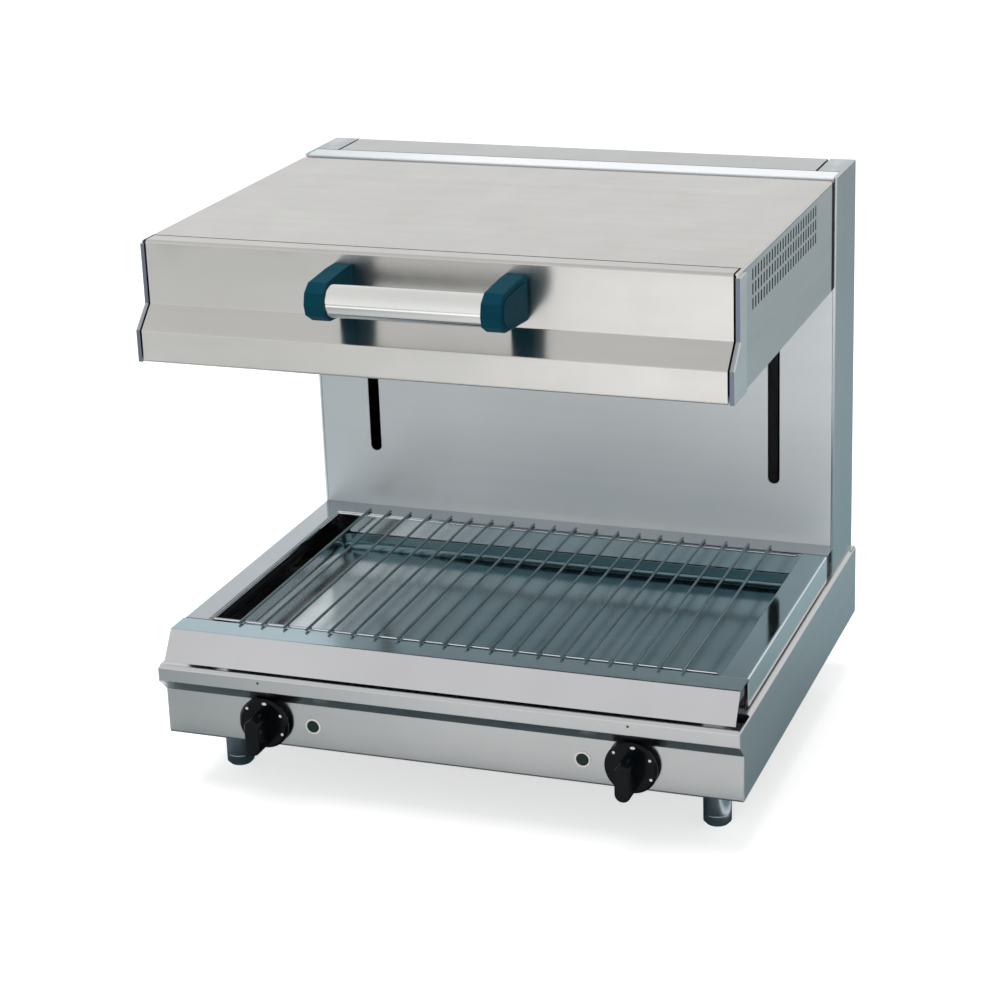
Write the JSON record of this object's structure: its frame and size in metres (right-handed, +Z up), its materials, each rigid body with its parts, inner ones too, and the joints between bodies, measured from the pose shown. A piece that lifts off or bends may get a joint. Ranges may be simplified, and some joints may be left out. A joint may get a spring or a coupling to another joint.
{
  "type": "cheese melter",
  "caption": "Electric cheese melter: heated stainless hood that slides up and down a rear column over a wire rack and lift-out drip tray, on a base with round feet.",
  "frame": {"origin": "middle of the outline on the floor plane, under the feet", "axes": "+X to the user's right along the width, +Y from the knobs to the rear column, +Z up"},
  "size_m": [0.6, 0.568, 0.5695],
  "materials": {
    "brushed_stainless": "brushed",
    "zinc_steel": "dull",
    "chromed_steel": "polished",
    "black_paint": "satin",
    "black_rubber": "matte",
    "dark_plastic": "satin",
    "black_plastic": "satin",
    "regulator_case": "matte",
    "green_lens": "gloss",
    "white_plastic": "satin",
    "bright_reflector": "bright",
    "element_sheath": "oxidised",
    "insulation": "fibrous",
    "bearing_bronze": "satin",
    "carriage_alloy": "machined"
  },
  "bodies": {
    "base": {"base_side_left": "brushed_stainless", "base_side_right": "brushed_stainless", "front_panel": "brushed_stainless", "base_floor": "zinc_steel", "base_rear_panel": "brushed_stainless", "foot_front_left": "chromed_steel", "foot_front_right": "chromed_steel", "foot_rear_left": "chromed_steel", "foot_rear_right": "chromed_steel", "foot_nuts": "zinc_steel", "deck_frame": "brushed_stainless", "deck_rim_right": "brushed_stainless", "deck_rails": "black_paint", "tray_bars": "zinc_steel", "column_front_panel": "brushed_stainless", "column_side_left": "brushed_stainless", "column_side_right": "brushed_stainless", "column_rear_cover": "brushed_stainless", "cover_screws": "zinc_steel", "guide_rod_left": "chromed_steel", "guide_rod_right": "chromed_steel", "rod_brackets": "zinc_steel", "gas_spring_cylinder_left": "black_paint", "gas_spring_cylinder_right": "black_paint", "spring_anchors": "zinc_steel", "regulator_left": "regulator_case", "regulator_right": "regulator_case", "pilot_lamp_left": "green_lens", "pilot_lamp_right": "green_lens", "terminal_block": "white_plastic", "cable_gland": "black_plastic"},
    "hood": {"hood_front_panel": "brushed_stainless", "hood_side_left": "brushed_stainless", "hood_side_right": "brushed_stainless", "hood_cheeks": "brushed_stainless", "hood_top": "brushed_stainless", "hood_rear_panel": "brushed_stainless", "hood_seals": "black_rubber", "reflector": "bright_reflector", "heating_element_left": "element_sheath", "heating_element_right": "element_sheath", "element_holders": "zinc_steel", "insulation_slab": "insulation", "handle_bracket_left": "dark_plastic", "handle_bracket_right": "dark_plastic", "handle_bar": "brushed_stainless", "carriage_left": "carriage_alloy", "carriage_right": "carriage_alloy", "slide_bushes": "bearing_bronze", "hood_arm_left": "zinc_steel", "hood_arm_right": "zinc_steel", "carriage_crossbar": "zinc_steel", "gas_spring_rod_left": "chromed_steel", "gas_spring_rod_right": "chromed_steel"},
    "tray": {"drip_tray": "brushed_stainless"},
    "rack": {"wire_rack": "chromed_steel"},
    "knob_left": {"knob_left": "black_plastic", "spindle_left": "zinc_steel"},
    "knob_right": {"knob_right": "black_plastic", "spindle_right": "zinc_steel"}
  },
  "joints": [
    {"name": "hood_slide", "type": "slide", "parent": "base", "child": "hood", "axis": [0, 0, 1], "range_m": [-0.22, 0]},
    {"name": "tray_lift", "type": "slide", "parent": "base", "child": "tray", "axis": [0, 0, 1], "range_m": [0, 0.1]},
    {"name": "rack_lift", "type": "slide", "parent": "tray", "child": "rack", "axis": [0, 0, 1], "range_m": [0, 0.1]},
    {"name": "knob_left_turn", "type": "hinge", "parent": "base", "child": "knob_left", "pos_m": [-0.191, -0.223, 0.084], "axis": [0, 1, 0], "range_deg": [0, 300]},
    {"name": "knob_right_turn", "type": "hinge", "parent": "base", "child": "knob_right", "pos_m": [0.191, -0.223, 0.084], "axis": [0, 1, 0], "range_deg": [0, 300]}
  ]
}
